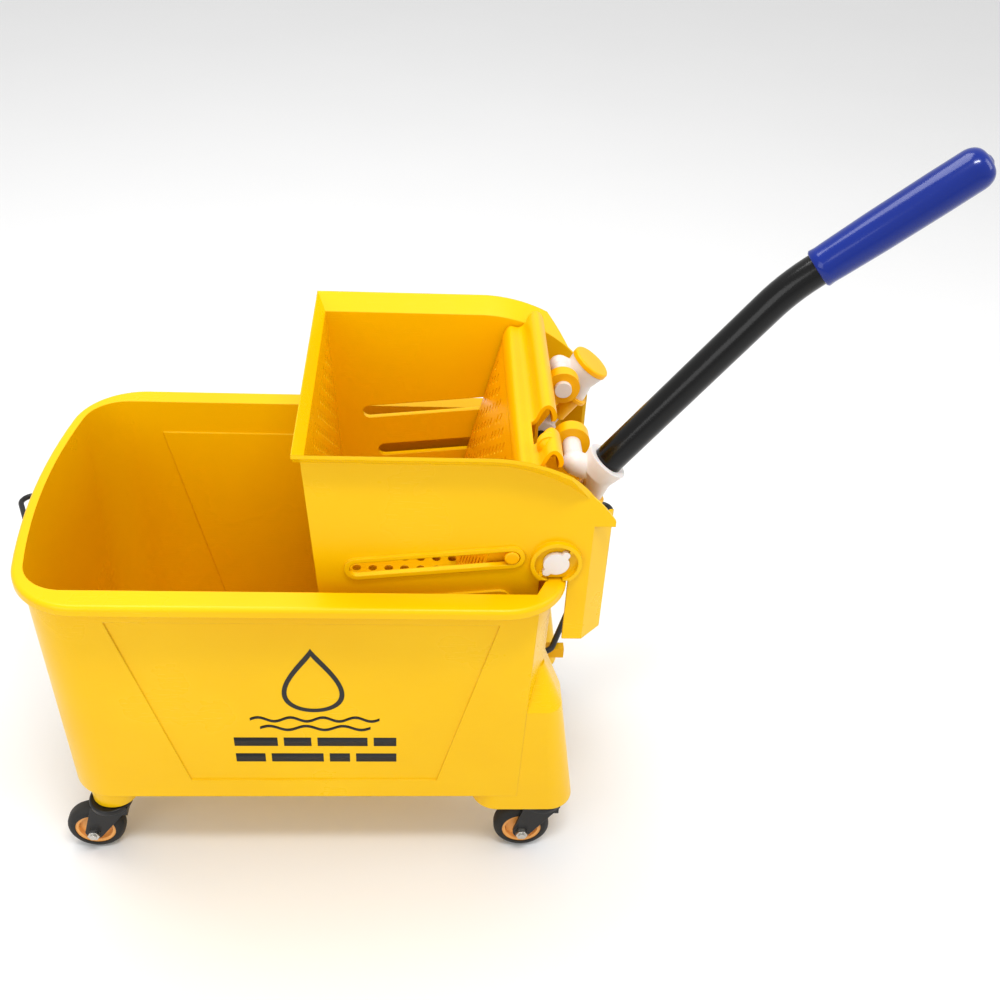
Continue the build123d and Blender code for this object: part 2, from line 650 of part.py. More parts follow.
def press_face_x(z):
    """X of the press plate's front face at height z."""
    slope = math.tan(math.radians(press_lean))
    return shaft_x - 54.6 + (z - shaft_z) * slope


def hood_sketch():
    """Fluted hood over the top of the press plate, in X and Z."""
    edge = shaft_x + hood_rear
    base = rim_height
    outer = [(edge - 35, base + 88), (edge - 33, base + 100), (edge - 28, base + 105.5),
             (edge - 21, base + 104.5), (edge - 16, base + 108), (edge - 12, base + 117),
             (edge - 6, base + 121.5), (edge - 1, base + 118), (edge, base + 106)]
    inner = [(edge - 3, base + 106), (edge - 4, base + 115.5), (edge - 6.5, base + 118),
             (edge - 9.5, base + 115), (edge - 13.5, base + 106), (edge - 20, base + 101.3),
             (edge - 27, base + 102.2), (edge - 30, base + 99), (edge - 32, base + 88)]
    lines = [Spline(*outer), Line(outer[-1], inner[0]), Spline(*inner), Line(inner[-1], outer[0])]
    return make_face(lines)


def hood_end(low, high):
    """Round-nosed plug that closes the hood's rear flute beside the lever's notch."""
    x = shaft_x + hood_rear - hood_plug_radius + 0.7
    z = rim_height + 112.6
    plug = disc_y(x, z, 2 * hood_plug_radius, low, high - hood_plug_radius)
    return plug + Pos(x, high - hood_plug_radius, z) * Sphere(hood_plug_radius)


def press_plate():
    """Perforated face, fluted hood, end cheeks and the ribs that take the links."""
    low = rim_height - 74.0
    high = rim_height + 92.0
    depth = press_face_thickness / math.cos(math.radians(press_lean))
    face = Polyline((press_face_x(low), low), (press_face_x(high), high),
                    (press_face_x(high) + depth, high), (press_face_x(low) + depth, low), close=True)
    plate = side_prism(make_face(face), -press_side, press_side)
    tilt = unit(90 - press_lean)
    plane = Plane(origin=(press_face_x(low) - 5, 0, low), x_dir=(0, 1, 0), z_dir=(tilt[1], 0, -tilt[0]))
    height = (high - low) / math.cos(math.radians(press_lean))
    holes = Sketch() + sieve_slots(10, height - 14, press_side - 10)
    plate = plate - extrude(plane * holes, amount=14)
    hood = side_prism(hood_sketch(), -press_side, press_side)
    notch_faces = (-lever_spacing - 4, -lever_spacing + 28)
    edge = shaft_x + hood_rear
    notch = Pos(edge - 19, (notch_faces[0] + notch_faces[1]) / 2, rim_height + 100)
    notch_box = Box(60, notch_faces[1] - notch_faces[0], 60, align=(Align.MIN, Align.CENTER, Align.MIN))
    hood = hood - notch * notch_box
    hood = hood + hood_end(notch_faces[0] - 14, notch_faces[0])
    plate = plate + hood
    cheek = Polyline((press_face_x(low), low), (press_face_x(low) + 20, low),
                     (lower_pin[0] + 8, lower_pin[1] - 9), (lower_pin[0] + 8, lower_pin[1] + 8),
                     (upper_pin[0] + 10, upper_pin[1] + 8), (edge - 12, rim_height + 104),
                     (edge - 26, rim_height + 103), (press_face_x(high), high), close=True)
    for side in (-1, 1):
        faces = sorted((side * (press_side - 3), side * press_side))
        plate = plate + side_prism(make_face(cheek), *faces)
    pivot_x = shaft_x + press_pivot[0]
    pivot_z = shaft_z + press_pivot[1]
    half = link_window / 2
    rib_low = pivot_z - half - 8
    rib_high = pivot_z + half + 7
    rib = Polyline((press_face_x(rib_low), rib_low), (pivot_x + half + 3, rib_low + 6),
                   (pivot_x + half + 3, rib_high), (press_face_x(rib_high), rib_high), close=True)
    window = Pos(pivot_x, pivot_z) * RectangleRounded(link_window, link_window, 6)
    rib_sketch = make_face(rib) - window
    for side in (-1, 1):
        for offset in (-1, 1):
            middle = side * link_spacing + offset * (link_width / 2 + 3.5)
            plate = plate + side_prism(rib_sketch, middle - 1.5, middle + 1.5)
    return plate


def guide_pins():
    """Four pins that ride in the side plates' slots, from cheek to just past the border."""
    pins = []
    for side in (-1, 1):
        faces = sorted((side * press_side, side * (plate_outer + slot_relief + 1.2)))
        for pin in (upper_pin, lower_pin):
            body = disc_y(pin[0], pin[1], press_pin_diameter, *faces)
            outer_edge = body.edges().filter_by(GeomType.CIRCLE).sort_by(Axis.Y)
            pins.append(fillet(outer_edge[-1] if side > 0 else outer_edge[0], 1.5))
    return Compound(children=pins)


def shaft():
    """Cross shaft through both side plates."""
    end = plate_outer + 0.4
    return disc_y(shaft_x, shaft_z, shaft_diameter, -end, end)


def shaft_caps():
    """Bayonet caps on the shaft's two ends."""
    caps = []
    for side in (-1, 1):
        faces = sorted((side * (plate_outer + 0.4), side * (plate_outer + 4.2)))
        disc = disc_y(shaft_x, shaft_z, 21, *faces)
        wing = Pos(shaft_x, shaft_z) * Rot(0, 0, 50) * SlotOverall(29.5, 6.5)
        caps.append(disc + side_prism(wing, *faces))
    return Compound(children=caps)


def lever(side):
    """White lever: hub, stem rod, offset socket and the branch with its crank pin."""
    y = side * lever_spacing
    hub_faces = (y - lever_hub_width / 2, y + lever_hub_width / 2)
    body = disc_y(shaft_x, shaft_z, lever_hub_diameter, *hub_faces)
    rod_end = from_shaft(socket_base + 4)
    body = body + rod((shaft_x, y, shaft_z), (rod_end[0], y, rod_end[1]), stem_rod_diameter)
    low = from_shaft(socket_base)
    low_plane = Plane(origin=(low[0], y, low[1]), z_dir=(*unit_xyz(lever_angle),))
    mid = from_shaft(socket_base + 16, socket_offset)
    mid_plane = Plane(origin=(mid[0], y, mid[1]), z_dir=(*unit_xyz(lever_angle),))
    neck = loft([low_plane * Circle(9.5), mid_plane * Circle(socket_diameter / 2 - 2.5)], ruled=True)
    body = body + neck
    mouth = from_shaft(socket_mouth, socket_offset)
    body = body + rod((mid[0], y, mid[1]), (mouth[0], y, mouth[1]), socket_diameter - 5, socket_diameter)
    branch_end = from_shaft(crank_along, crank_forward)
    body = body + rod((mid[0], y, mid[1]), (branch_end[0], y, branch_end[1]), crank_pin_diameter + 5)
    knuckle = Pos(branch_end[0], y, branch_end[1]) * Sphere(crank_pin_diameter / 2 + 2.5)
    body = body + knuckle
    pin_faces = sorted((y, side * crank_pin_end))
    body = body + disc_y(branch_end[0], branch_end[1], crank_pin_diameter, *pin_faces)
    seat = from_shaft(socket_base + 19, socket_offset)
    past = from_shaft(socket_mouth + 5, socket_offset)
    body = body - rod((seat[0], y, seat[1]), (past[0], y, past[1]), handle_diameter)
    body = body - disc_y(shaft_x, shaft_z, shaft_diameter, *hub_faces)
    return body


def unit_xyz(degrees):
    """The same direction as unit(), as a 3-D vector."""
    direction = unit(degrees)
    return (direction[0], 0, direction[1])


def lever_sleeve(side):
    """Yellow flanged sleeve round the stem rod, under the socket."""
    y = side * lever_spacing
    start = from_shaft(lever_hub_diameter / 2 + 8)
    end = from_shaft(socket_base)
    flange = from_shaft(socket_base - 3.5)
    sleeve = rod((start[0], y, start[1]), (end[0], y, end[1]), 18)
    sleeve = sleeve + rod((flange[0], y, flange[1]), (end[0], y, end[1]), 25)
    return sleeve - rod((shaft_x, y, shaft_z), (end[0], y, end[1]), stem_rod_diameter)


def socket_cap():
    """Yellow plug that closes the far lever's empty socket."""
    y = lever_spacing
    seat = from_shaft(socket_mouth - 8, socket_offset)
    mouth = from_shaft(socket_mouth, socket_offset)
    top = from_shaft(socket_mouth + 5, socket_offset)
    cap = rod((mouth[0], y, mouth[1]), (top[0], y, top[1]), socket_diameter + 1)
    cap = fillet(cap.edges().filter_by(GeomType.CIRCLE).sort_by(Axis.Z)[-1], 1.8)
    return cap + rod((seat[0], y, seat[1]), (mouth[0], y, mouth[1]), handle_diameter)


def handle_path(start, length_after):
    """Bent centre line of the handle, from a distance along the lever to past the bend."""
    y = -lever_spacing
    first = from_shaft(start, socket_offset)
    bend = from_shaft(handle_bend_at, socket_offset)
    direction = unit(grip_angle)
    last = (bend[0] + direction[0] * length_after, bend[1] + direction[1] * length_after)
    points = [(first[0], y, first[1]), (bend[0], y, bend[1]), (last[0], y, last[1])]
    return FilletPolyline(*points, radius=handle_bend_radius)


def handle_tube():
    """Bent steel tube from the near socket into the grip."""
    path = handle_path(socket_base + 19, grip_start + grip_length - 12)
    plane = Plane(origin=path @ 0, z_dir=path % 0)
    ring = Circle(handle_diameter / 2) - Circle(handle_diameter / 2 - handle_wall)
    return sweep(plane * ring, path)


def handle_grip():
    """Slip-on grip with a rounded closed end and a small moulding nub."""
    y = -lever_spacing
    bend = from_shaft(handle_bend_at, socket_offset)
    direction = unit(grip_angle)

    def place(distance):
        return (bend[0] + direction[0] * distance, y, bend[1] + direction[1] * distance)

    end = grip_start + grip_length
    grip = rod(place(grip_start), place(end), grip_diameter - 2, grip_diameter)
    far_edge = grip.edges().filter_by(GeomType.CIRCLE).sort_by(Axis.X)[-1]
    grip = fillet(far_edge, 10)
    grip = grip - rod(place(grip_start - 1), place(end - 12), handle_diameter)
    return grip + rod(place(end - 2), place(end + 2), 7)


def link(side):
    """Yellow link: a ring on the crank pin and a small eye behind the press plate."""
    y = side * link_spacing
    faces = (y - link_width / 2, y + link_width / 2)
    crank = from_shaft(crank_along, crank_forward)
    direction = unit(link_rest_angle)
    eye = (crank[0] + link_length * direction[0], crank[1] + link_length * direction[1])
    body = disc_y(crank[0], crank[1], link_ring_diameter, *faces)
    body = body + disc_y(eye[0], eye[1], link_eye_diameter, *faces)
    middle = ((crank[0] + eye[0]) / 2, (crank[1] + eye[1]) / 2)
    bar = Pos(*middle) * Rot(0, 0, link_rest_angle) * Rectangle(link_length, 12)
    body = body + side_prism(bar, *faces)
    body = body - disc_y(crank[0], crank[1], crank_pin_diameter + 2 * running_gap, *faces)
    return body - disc_y(eye[0], eye[1], link_pin_diameter, *faces)


def link_pin(side):
    """Pin through a link's eye, reaching into the windows of the press plate's ribs."""
    y = side * link_spacing
    crank = from_shaft(crank_along, crank_forward)
    direction = unit(link_rest_angle)
    eye = (crank[0] + link_length * direction[0], crank[1] + link_length * direction[1])
    return disc_y(eye[0], eye[1], link_pin_diameter, y - link_pin_length / 2, y + link_pin_length / 2)


def build_nodes():
    """Every piece by name, in the drawing position."""
    nodes = {
        "bucket_shell": bucket_shell(),
        "bail_wire": bail(),
        "wringer_frame": cut_front_sieve(finish_frame(wringer_frame())),
        "drain_grid": drain_grid(),
        "press_plate": press_plate(),
        "guide_pins": guide_pins(),
        "lever_shaft": shaft(),
        "shaft_caps": shaft_caps(),
        "socket_cap": socket_cap(),
        "handle_tube": handle_tube(),
        "handle_grip": handle_grip(),
    }
    for name, side in (("near", -1), ("far", 1)):
        nodes["lever_" + name] = lever(side)
        nodes["lever_sleeve_" + name] = lever_sleeve(side)
        nodes["link_" + name] = link(side)
        nodes["link_pin_" + name] = link_pin(side)
    for end, x, foot in (("front", front_caster_x, front_foot_height),
                         ("rear", rear_caster_x, rear_foot_height)):
        for name, side in (("near", -1), ("far", 1)):
            for piece, solid in caster(x, side * caster_side, foot).items():
                nodes[f"caster_{piece}_{end}_{name}"] = solid
    return nodes


def assembly_offset(nodes):
    """Shift that puts the origin under the middle of the whole assembly."""
    boxes = [solid.bounding_box() for solid in nodes.values()]
    x = (min(box.min.X for box in boxes) + max(box.max.X for box in boxes)) / 2
    y = (min(box.min.Y for box in boxes) + max(box.max.Y for box in boxes)) / 2
    z = min(box.min.Z for box in boxes)
    return (-x, -y, -z)


def main():
    """Write one STEP file per piece."""
    os.makedirs("parts", exist_ok=True)
    nodes = build_nodes()
    offset = assembly_offset(nodes)
    print("offset from the drawing position:", [round(value, 4) for value in offset])
    for name, solid in nodes.items():
        export_step(Pos(*offset) * solid, f"parts/{name}.step")
    print(len(nodes), "nodes written")


main()
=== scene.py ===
# %% [markdown]
# # A mop bucket with a side-press wringer
# This lesson dresses a jointed CAD model of a cleaner's bucket.  The CAD gives every plastic
# moulding, lever and wheel its place, and this script adds turned wheels, a dipped grip, a
# printed mark and the finishes.  Lengths are in metres and +Z is up.

# %% Load the CAD frame
import json
import math
import bmesh
import bpy
from mathutils import Matrix, Vector
from mathutils.bvhtree import BVHTree


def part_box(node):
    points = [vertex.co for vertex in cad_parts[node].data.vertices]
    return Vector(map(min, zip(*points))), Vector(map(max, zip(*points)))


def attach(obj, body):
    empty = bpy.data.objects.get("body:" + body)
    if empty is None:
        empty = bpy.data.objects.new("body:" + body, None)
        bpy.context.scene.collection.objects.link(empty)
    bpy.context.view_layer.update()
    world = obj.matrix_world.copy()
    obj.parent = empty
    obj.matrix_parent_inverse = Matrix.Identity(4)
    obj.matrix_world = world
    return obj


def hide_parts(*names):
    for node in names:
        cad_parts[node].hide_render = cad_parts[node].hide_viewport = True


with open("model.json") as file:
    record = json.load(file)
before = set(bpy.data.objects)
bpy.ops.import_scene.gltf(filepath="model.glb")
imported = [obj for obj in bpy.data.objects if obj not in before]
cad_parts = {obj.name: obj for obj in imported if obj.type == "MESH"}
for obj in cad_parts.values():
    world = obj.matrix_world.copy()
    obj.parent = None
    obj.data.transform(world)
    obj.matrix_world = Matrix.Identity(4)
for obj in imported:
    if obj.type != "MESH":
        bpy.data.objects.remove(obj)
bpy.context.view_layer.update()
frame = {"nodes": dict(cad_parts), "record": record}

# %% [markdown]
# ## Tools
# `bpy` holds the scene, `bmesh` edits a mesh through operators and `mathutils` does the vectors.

nodes = frame["nodes"]
casters = [(end, side) for end in ("front", "rear") for side in ("near", "far")]
print(len(nodes), "CAD nodes,", len(casters), "casters")

# %% [markdown]
# ## Where things are
# A CAD node's box says where it sits, so the new pieces are placed from boxes and follow any
# later change to the CAD.

# %% Helpers for places
def middle_of(node):
    low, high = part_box(node)
    return Vector([(a + b) / 2 for a, b in zip(low, high)])


def size_of(node):
    low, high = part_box(node)
    return Vector([b - a for a, b in zip(low, high)])


print("wheel", size_of("caster_tyre_front_near")[:])


# %% [markdown]
# ## Node groups
# Every finish shares a few effects.  Each one is a node group with named sockets, so it is
# built once and every material gives it its own numbers.  A small builder keeps the wiring
# short: it adds a node, sets its sockets and links whatever is passed as another socket.

# %% A small node builder
def add_node(tree, kind, values=None, **settings):
    node = tree.nodes.new(kind)
    for key, value in settings.items():
        setattr(node, key, value)
    for key, value in (values or {}).items():
        socket = node.inputs[key]
        if isinstance(value, bpy.types.NodeSocket):
            tree.links.new(value, socket)
        else:
            socket.default_value = value
    return node


def maths(tree, operation, a, b=0.0, clamp=False):
    return add_node(tree, "ShaderNodeMath", {0: a, 1: b}, operation=operation, use_clamp=clamp).outputs[0]


def ramp(tree, value, low, high, out_low=0.0, out_high=1.0):
    node = add_node(tree, "ShaderNodeMapRange", {"Value": value, "From Min": low, "From Max": high,
                                                 "To Min": out_low, "To Max": out_high})
    return node.outputs["Result"]


def blend_colour(tree, factor, a, b, mode="MIX"):
    node = add_node(tree, "ShaderNodeMix", data_type="RGBA", blend_type=mode)
    for index, value in ((0, factor), (6, a), (7, b)):
        if isinstance(value, bpy.types.NodeSocket):
            tree.links.new(value, node.inputs[index])
        else:
            node.inputs[index].default_value = value
    return node.outputs[2]


def new_group(name, inputs, outputs):
    group = bpy.data.node_groups.new(name, "ShaderNodeTree")
    for label, kind, default in inputs:
        socket = group.interface.new_socket(label, in_out="INPUT", socket_type=kind)
        if default is not None:
            socket.default_value = default
    for label, kind in outputs:
        group.interface.new_socket(label, in_out="OUTPUT", socket_type=kind)
    return group, group.nodes.new("NodeGroupInput").outputs, group.nodes.new("NodeGroupOutput").inputs


FLOAT, COLOUR, VECTOR = "NodeSocketFloat", "NodeSocketColor", "NodeSocketVector"

# %% [markdown]
# ### Rounded edges and moulded grain
# A moulding never has a sharp edge.  The Bevel shader node turns the normals near an edge, so
# light catches every rim and rib.  Noise in the bump gives the fine grain of a blasted mould
# and, much larger, the slight waviness of a thin wall that shrank as it cooled.

# %% The grain group
grain, grain_in, grain_out = new_group(
    "Moulded grain",
    [("Edge Radius", FLOAT, 0.0008), ("Grain Size", FLOAT, 900.0), ("Grain Depth", FLOAT, 0.1),
     ("Wave Size", FLOAT, 9.0), ("Wave Depth", FLOAT, 0.2)],
    [("Normal", VECTOR)])
spot = add_node(grain, "ShaderNodeTexCoord").outputs["Object"]
softened = add_node(grain, "ShaderNodeBevel", {"Radius": grain_in["Edge Radius"]}, samples=6)
waves = add_node(grain, "ShaderNodeTexNoise", {"Vector": spot, "Scale": grain_in["Wave Size"], "Detail": 1.0})
wavy = add_node(grain, "ShaderNodeBump", {"Strength": grain_in["Wave Depth"], "Distance": 0.01,
                                          "Height": waves.outputs["Fac"], "Normal": softened.outputs[0]})
specks = add_node(grain, "ShaderNodeTexNoise", {"Vector": spot, "Scale": grain_in["Grain Size"],
                                                "Detail": 2.0})
grainy = add_node(grain, "ShaderNodeBump", {"Strength": grain_in["Grain Depth"], "Distance": 0.0004,
                                            "Height": specks.outputs["Fac"], "Normal": wavy.outputs[0]})
grain.links.new(grainy.outputs[0], grain_out["Normal"])
print("group", grain.name)

# %% [markdown]
# ### Edge wear
# Where the bevelled normal and the true normal differ, the surface is near an edge.  Broken up
# with noise, that makes the pale rubbed line that plastic and paint get on their corners.

# %% The edge wear group
wear, wear_in, wear_out = new_group(
    "Rubbed edges", [("Width", FLOAT, 0.0012), ("Amount", FLOAT, 0.5), ("Patch Size", FLOAT, 40.0)],
    [("Mask", FLOAT)])
spot = add_node(wear, "ShaderNodeTexCoord").outputs["Object"]
true_normal = add_node(wear, "ShaderNodeNewGeometry").outputs["Normal"]
soft_normal = add_node(wear, "ShaderNodeBevel", {"Radius": wear_in["Width"]}, samples=6).outputs[0]
turned = add_node(wear, "ShaderNodeVectorMath", {0: true_normal, 1: soft_normal}, operation="DOT_PRODUCT")
near_edge = ramp(wear, turned.outputs["Value"], 0.995, 0.9)
patches = add_node(wear, "ShaderNodeTexNoise", {"Vector": spot, "Scale": wear_in["Patch Size"],
                                                "Detail": 6.0})
broken = ramp(wear, patches.outputs["Fac"], 0.4, 0.62)
wear.links.new(maths(wear, "MULTIPLY", maths(wear, "MULTIPLY", near_edge, broken), wear_in["Amount"], True),
               wear_out["Mask"])
print("group", wear.name)

# %% [markdown]
# ### Handling marks
# Plastic that is used gets fine rubs and dull patches.  Two stretched noises make the rubs and
# a slow one makes the patches.  The result goes to roughness, and a little of it to colour.

# %% The handling group
marks, marks_in, marks_out = new_group(
    "Handling marks", [("Rub Size", FLOAT, 60.0), ("Patch Size", FLOAT, 6.0)],
    [("Rubs", FLOAT), ("Patches", FLOAT)])
spot = add_node(marks, "ShaderNodeTexCoord").outputs["Object"]
rubs = []
for turn in (0.4, -0.9):
    along = add_node(marks, "ShaderNodeMapping", {"Vector": spot, "Rotation": (0.3, turn, turn),
                                                  "Scale": (1.0, 14.0, 14.0)}).outputs[0]
    noise = add_node(marks, "ShaderNodeTexNoise", {"Vector": along, "Scale": marks_in["Rub Size"],
                                                   "Detail": 4.0, "Roughness": 0.6})
    rubs.append(ramp(marks, noise.outputs["Fac"], 0.6, 0.78))
marks.links.new(maths(marks, "MAXIMUM", rubs[0], rubs[1]), marks_out["Rubs"])
slow = add_node(marks, "ShaderNodeTexNoise", {"Vector": spot, "Scale": marks_in["Patch Size"], "Detail": 5.0})
marks.links.new(ramp(marks, slow.outputs["Fac"], 0.35, 0.68), marks_out["Patches"])
print("group", marks.name)

# %% [markdown]
# ### Settled dust
# Dust lies on faces that look up and stays thin and cloudy.  The mask is the upward part of
# the normal times a noise.

# %% The dust group
dust, dust_in, dust_out = new_group("Settled dust", [("Amount", FLOAT, 0.15), ("Cloud Size", FLOAT, 14.0)],
                                    [("Mask", FLOAT)])
spot = add_node(dust, "ShaderNodeTexCoord").outputs["Object"]
upward = add_node(dust, "ShaderNodeSeparateXYZ",
                  {0: add_node(dust, "ShaderNodeNewGeometry").outputs["Normal"]}).outputs["Z"]
cloud = add_node(dust, "ShaderNodeTexNoise", {"Vector": spot, "Scale": dust_in["Cloud Size"], "Detail": 8.0})
cover = maths(dust, "MULTIPLY", ramp(dust, upward, 0.3, 1.0), ramp(dust, cloud.outputs["Fac"], 0.35, 0.75))
dust.links.new(maths(dust, "MULTIPLY", cover, dust_in["Amount"], True), dust_out["Mask"])
print("group", dust.name)


# %% [markdown]
# ## Materials
# Plastic, paint and metal differ only in numbers: two base colours that drift into each other,
# a rubbed-edge colour, roughness, coat and grain.  One recipe reads those numbers.

# %% The finish recipe
def use_group(tree, group, **values):
    node = tree.nodes.new("ShaderNodeGroup")
    node.node_tree = group
    for key, value in values.items():
        node.inputs[key.replace("_", " ").title()].default_value = value
    return node


def rgba(r, g, b):
    return (r, g, b, 1.0)


def finish(name, main, deep, worn, rough=0.35, rough_span=0.12, metal=0.0, coat=0.0, coat_rough=0.1,
           edge=0.0008, grain_size=900.0, grain_depth=0.1, wave=0.0, wear_amount=0.4, dirt=0.08,
           subsurface=0.0, dirt_colour=(0.3, 0.26, 0.2), ior=1.5, shine=0.5):
    material = bpy.data.materials.new(name)
    material.use_nodes = True
    tree = material.node_tree
    shader = tree.nodes["Principled BSDF"]
    marked = use_group(tree, marks)
    rubbed = use_group(tree, wear, width=edge * 1.6, amount=wear_amount)
    dusty = use_group(tree, dust, amount=dirt)
    relief = use_group(tree, grain, edge_radius=edge, grain_size=grain_size, grain_depth=grain_depth,
                       wave_depth=wave)
    colour = blend_colour(tree, marked.outputs["Patches"], rgba(*main), rgba(*deep))
    colour = blend_colour(tree, maths(tree, "MULTIPLY", marked.outputs["Rubs"], 0.12), colour, rgba(*worn))
    colour = blend_colour(tree, rubbed.outputs["Mask"], colour, rgba(*worn))
    colour = blend_colour(tree, dusty.outputs["Mask"], colour, rgba(*dirt_colour))
    tree.links.new(colour, shader.inputs["Base Color"])
    roughness = ramp(tree, marked.outputs["Patches"], 0.0, 1.0,
                     rough - rough_span / 2, rough + rough_span / 2)
    roughness = maths(tree, "ADD", roughness, maths(tree, "MULTIPLY", marked.outputs["Rubs"], rough_span))
    roughness = maths(tree, "ADD", roughness, maths(tree, "MULTIPLY", dusty.outputs["Mask"], 0.5), True)
    tree.links.new(roughness, shader.inputs["Roughness"])
    tree.links.new(relief.outputs["Normal"], shader.inputs["Normal"])
    shader.inputs["Metallic"].default_value = metal
    shader.inputs["Coat Weight"].default_value = coat
    shader.inputs["Coat Roughness"].default_value = coat_rough
    shader.inputs["IOR"].default_value = ior
    shader.inputs["Specular IOR Level"].default_value = shine
    if subsurface:
        shader.inputs["Subsurface Weight"].default_value = subsurface
        shader.inputs["Subsurface Radius"].default_value = (0.004, 0.002, 0.001)
    return material


# %% [markdown]
# The bucket and wringer are yellow polypropylene.  The press plate, links, sleeves and cap come
# from a warmer batch.  The levers are natural nylon, the steel is powder coated, the grip is
# dipped in blue vinyl and the wheels are rubber on tan hubs.

# %% The finishes
yellow_plastic = finish("yellow plastic", (0.87, 0.535, 0.0), (0.84, 0.495, 0.0), (0.94, 0.68, 0.04),
                        rough=0.30, rough_span=0.10, grain_size=1300, grain_depth=0.10, wave=0.05,
                        edge=0.0012, wear_amount=0.25, dirt=0.02, dirt_colour=(0.72, 0.42, 0.03), shine=0.30)
amber_plastic = finish("amber plastic", (0.92, 0.49, 0.0), (0.89, 0.44, 0.0), (0.98, 0.64, 0.06),
                       rough=0.28, grain_size=1100, grain_depth=0.08, edge=0.0009, wear_amount=0.25,
                       dirt=0.02, dirt_colour=(0.72, 0.42, 0.03), shine=0.30)
white_nylon = finish("white nylon", (0.80, 0.75, 0.72), (0.76, 0.70, 0.66), (0.88, 0.85, 0.82),
                     rough=0.36, grain_depth=0.12, edge=0.0010, wear_amount=0.2, dirt=0.10,
                     subsurface=0.15, dirt_colour=(0.55, 0.47, 0.38))
black_steel = finish("black powder coat", (0.002, 0.002, 0.002), (0.004, 0.004, 0.004), (0.03, 0.03, 0.03),
                     rough=0.25, shine=0.35, coat=0.2, coat_rough=0.10, grain_size=700, grain_depth=0.22,
                     edge=0.0006, wear_amount=0.4, dirt=0.02, dirt_colour=(0.06, 0.05, 0.045))
black_wire = finish("black wire coat", (0.008, 0.008, 0.009), (0.012, 0.012, 0.012), (0.06, 0.06, 0.06),
                    rough=0.36, grain_size=800, grain_depth=0.2, edge=0.0005, dirt=0.10,
                    dirt_colour=(0.12, 0.10, 0.08))
blue_grip = finish("blue dipped vinyl", (0.0005, 0.022, 0.24), (0.0005, 0.016, 0.18), (0.01, 0.07, 0.40),
                   rough=0.20, rough_span=0.06, shine=0.4, coat=0.3, coat_rough=0.06, grain_size=350,
                   grain_depth=0.05, wave=0.03, edge=0.0010, wear_amount=0.15, dirt=0.03,
                   dirt_colour=(0.05, 0.08, 0.20))
black_fork = finish("black nylon", (0.008, 0.008, 0.009), (0.013, 0.013, 0.014), (0.05, 0.05, 0.05),
                    rough=0.34, grain_size=900, grain_depth=0.16, edge=0.0008, wear_amount=0.5, dirt=0.16,
                    dirt_colour=(0.14, 0.12, 0.10))
tyre_rubber = finish("tyre rubber", (0.010, 0.010, 0.010), (0.017, 0.016, 0.015), (0.05, 0.048, 0.045),
                     rough=0.55, grain_size=500, grain_depth=0.35, edge=0.0010, wear_amount=0.5, dirt=0.25,
                     dirt_colour=(0.17, 0.15, 0.12))
orange_hub = finish("tan hub plastic", (0.86, 0.42, 0.12), (0.80, 0.35, 0.08), (0.93, 0.62, 0.32),
                    rough=0.38, grain_depth=0.15, edge=0.0008, wear_amount=0.4, dirt=0.15)
zinc_steel = finish("zinc plate", (0.62, 0.61, 0.58), (0.50, 0.50, 0.47), (0.80, 0.80, 0.78), metal=1.0,
                    rough=0.30, rough_span=0.2, grain_size=600, grain_depth=0.2, edge=0.0004,
                    wear_amount=0.4, dirt=0.1)
print_ink = finish("black ink", (0.012, 0.012, 0.012), (0.020, 0.018, 0.014), (0.10, 0.07, 0.02),
                   rough=0.45, grain_size=1300, grain_depth=0.12, edge=0.0003, wear_amount=0.0, dirt=0.02)
finishes = {"yellow_plastic": yellow_plastic, "amber_plastic": amber_plastic, "white_nylon": white_nylon,
            "black_steel": black_steel, "black_wire": black_wire, "blue_grip": blue_grip,
            "black_fork": black_fork, "tyre_rubber": tyre_rubber, "orange_hub": orange_hub,
            "zinc_steel": zinc_steel}
print(len(finishes), "finishes")

# %% Finish every CAD node
for part in frame["record"]["subparts"]:
    mesh = nodes[part["node"]].data
    mesh.materials.clear()
    mesh.materials.append(finishes[part["material_slot"]])


# %% [markdown]
# ## Making pieces
# A piece starts as a bmesh.  The helper below writes it to an object at the origin, so its
# place stays in its mesh, parents it to the body that carries it and hides the CAD nodes it stands for.

# %% The piece helper
def make_piece(name, bm, body, slot, stands_for=(), smooth=40.0):
    bmesh.ops.remove_doubles(bm, verts=bm.verts, dist=1e-6)
    bmesh.ops.recalc_face_normals(bm, faces=bm.faces)
    mesh = bpy.data.meshes.new(name)
    bm.to_mesh(mesh)
    bm.free()
    piece = bpy.data.objects.new(name, mesh)
    bpy.context.scene.collection.objects.link(piece)
    mesh.materials.append(finishes.get(slot, print_ink))
    mesh.shade_smooth()
    mesh.set_sharp_from_angle(angle=math.radians(smooth))
    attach(piece, body)
    if stands_for:
        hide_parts(*stands_for)
    print(name, len(mesh.polygons), "faces")
    return piece


# %% [markdown]
# ### Turned pieces
# A wheel, hub or cap is a half profile spun once round an axis.  The profile is a chain of
# edges in the plane of the axis; `spin` sweeps it and `use_merge` closes the last step onto
# the first.

# %% The turning helper
def turned_mesh(profile, steps=64, closed=False):
    """profile is (distance along the axis, radius) pairs.  The axis is +Y through the origin."""
    bm = bmesh.new()
    ring = [bm.verts.new((radius, along, 0.0)) for along, radius in profile]
    edges = [bm.edges.new(pair) for pair in zip(ring, ring[1:])]
    if closed:
        edges.append(bm.edges.new((ring[-1], ring[0])))
    bmesh.ops.spin(bm, geom=ring + edges, cent=(0, 0, 0), axis=(0, 1, 0), dvec=(0, 0, 0),
                   angle=math.tau, steps=steps, use_merge=True, use_duplicate=False)
    bmesh.ops.remove_doubles(bm, verts=bm.verts, dist=1e-6)
    return bm


